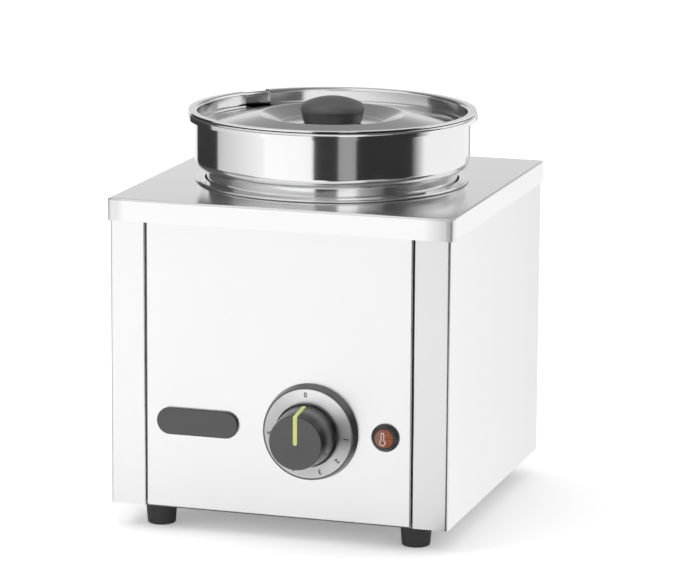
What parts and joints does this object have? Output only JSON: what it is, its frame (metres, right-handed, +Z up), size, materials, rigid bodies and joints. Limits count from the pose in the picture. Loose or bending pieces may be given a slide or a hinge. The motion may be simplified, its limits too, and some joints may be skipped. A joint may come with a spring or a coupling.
{
  "type": "countertop bain-marie",
  "caption": "Square countertop electric bain-marie with a round lift-out pot, a recessed lid with a ladle notch, a dial control and a pilot lamp.",
  "frame": {"origin": "on the table, under the middle of the cabinet", "axes": "+Z up, the front with its dial faces -Y, +X to the right seen from the front"},
  "size_m": [0.24, 0.303, 0.2844],
  "materials": {
    "cabinet_steel": "smooth satin stainless sheet",
    "well_steel": "drawn and polished stainless",
    "pot_steel": "mirror-polished stainless",
    "lid_steel": "polished stainless pressing",
    "base_steel": "plain galvanised sheet",
    "fastener_steel": "zinc-plated",
    "heater_steel": "heat-tinted sheath",
    "copper": "bare drawn tube",
    "brass": "turned",
    "dial_metal": "fine brushed, printed",
    "knob_plastic": "satin moulded black",
    "bezel_plastic": "satin moulded black",
    "pointer_plastic": "lime insert",
    "lid_knob_plastic": "fine-grained heat-proof black",
    "lamp_plastic": "moulded black",
    "lamp_amber": "prismatic amber lens",
    "bulb_glass": "clear glow lamp",
    "badge_plastic": "bare satin plate",
    "foot_rubber": "moulded black rubber",
    "seal_rubber": "silicone",
    "switch_plastic": "moulded housing",
    "block_plastic": "ceramic-like white",
    "gland_plastic": "moulded black nylon"
  },
  "bodies": {
    "cabinet": {"badge_plate": "badge_plastic", "base_plate": "base_steel", "base_screws": "fastener_steel", "block_screws": "fastener_steel", "bulb_clips": "fastener_steel", "cable_gland": "gland_plastic", "capillary_tube": "copper", "cover_screws": "fastener_steel", "dial_bezel": "bezel_plastic", "dial_plate": "dial_metal", "earth_nuts": "brass", "earth_stud": "brass", "foot_front_left": "foot_rubber", "foot_front_right": "foot_rubber", "foot_nuts": "fastener_steel", "foot_rear_left": "foot_rubber", "foot_rear_right": "foot_rubber", "foot_screws": "fastener_steel", "front_panel": "cabinet_steel", "gland_locknut": "gland_plastic", "gland_nut": "gland_plastic", "gland_seal": "seal_rubber", "heater_clamp": "fastener_steel", "heater_nut": "fastener_steel", "heater_stud": "fastener_steel", "heating_element": "heater_steel", "lamp_bezel": "lamp_plastic", "lamp_bulb": "bulb_glass", "lamp_lens": "lamp_amber", "lamp_nut": "gland_plastic", "panel_screws": "fastener_steel", "rear_panel": "cabinet_steel", "sensing_bulb": "copper", "side_panel_left": "cabinet_steel", "side_panel_right": "cabinet_steel", "terminal_block": "block_plastic", "terminal_screws": "brass", "thermal_cutout": "switch_plastic", "thermostat_body": "switch_plastic", "thermostat_screws": "fastener_steel", "top_cover": "cabinet_steel", "water_well": "well_steel", "well_seal": "seal_rubber"},
    "pot": {"food_pot": "pot_steel"},
    "lid": {"lid_shell": "lid_steel", "lid_knob": "lid_knob_plastic", "lid_washer": "fastener_steel", "lid_screw": "fastener_steel"},
    "control": {"control_knob": "knob_plastic", "knob_pointer": "pointer_plastic", "control_shaft": "brass"}
  },
  "joints": [
    {"name": "pot_lift", "type": "slide", "parent": "cabinet", "child": "pot", "axis": [0, 0, 1], "range_m": [0, 0.15]},
    {"name": "lid_lift", "type": "slide", "parent": "pot", "child": "lid", "axis": [0, 0, 1], "range_m": [0, 0.1]},
    {"name": "dial_turn", "type": "hinge", "parent": "cabinet", "child": "control", "pos_m": [0.0234, -0.1184, 0.0775], "axis": [0, 1, 0], "range_deg": [0, 270]}
  ]
}
